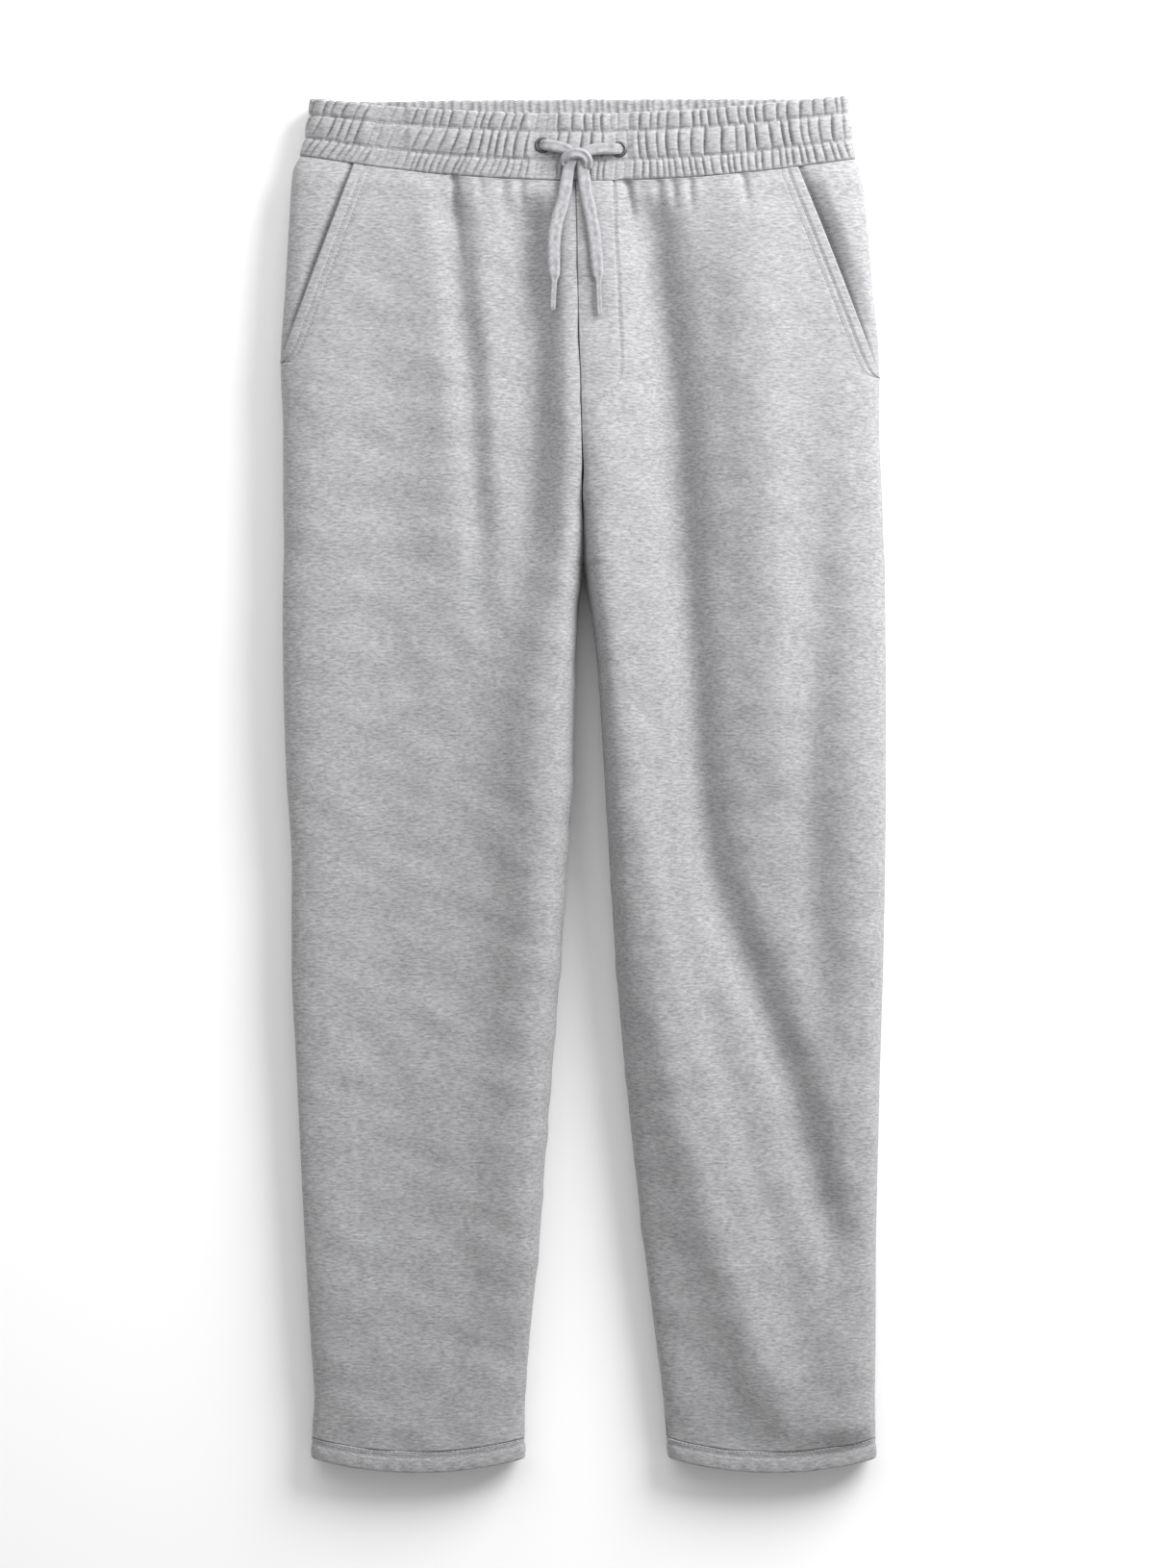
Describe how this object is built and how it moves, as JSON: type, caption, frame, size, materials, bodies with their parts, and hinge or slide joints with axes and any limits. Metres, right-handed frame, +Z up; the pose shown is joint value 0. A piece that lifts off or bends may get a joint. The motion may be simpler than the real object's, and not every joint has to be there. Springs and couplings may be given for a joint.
{
  "type": "jogger sweatpants",
  "caption": "Straight-leg fleece sweatpants laid flat, with a gathered elastic waistband, drawcord, mock fly, slanted pockets and turned-up hems.",
  "frame": {"origin": "on the table, under the middle of the laid-out garment", "axes": "+X towards the wearer's left side, +Y from the hems to the waist, +Z up from the table through the front"},
  "size_m": [0.4625, 1.052, 0.0558],
  "materials": {
    "fleece": "light grey marl brushed-back fleece, soft and matt, with fine short streaks along the knit",
    "cord": "flat tubular knitted cotton cord, matt, a little smoother than the fleece",
    "eyelet_metal": "dark gunmetal plated brass, satin"
  },
  "bodies": {
    "root": {"front_right_trunk": "fleece", "front_right_thigh": "fleece", "front_right_calf": "fleece", "front_left_trunk": "fleece", "front_left_thigh": "fleece", "front_left_calf": "fleece", "back_right_trunk": "fleece", "back_right_thigh": "fleece", "back_right_calf": "fleece", "back_left_trunk": "fleece", "back_left_thigh": "fleece", "back_left_calf": "fleece", "hip_right": "fleece", "hip_left": "fleece", "waistband": "fleece", "hem_right": "fleece", "hem_left": "fleece", "eyelet_right": "eyelet_metal", "eyelet_left": "eyelet_metal", "strand_right": "cord", "strand_left": "cord", "knot": "cord", "free_end_right": "cord", "free_end_left": "cord", "tip_right": "cord", "tip_left": "cord"}
  },
  "joints": []
}
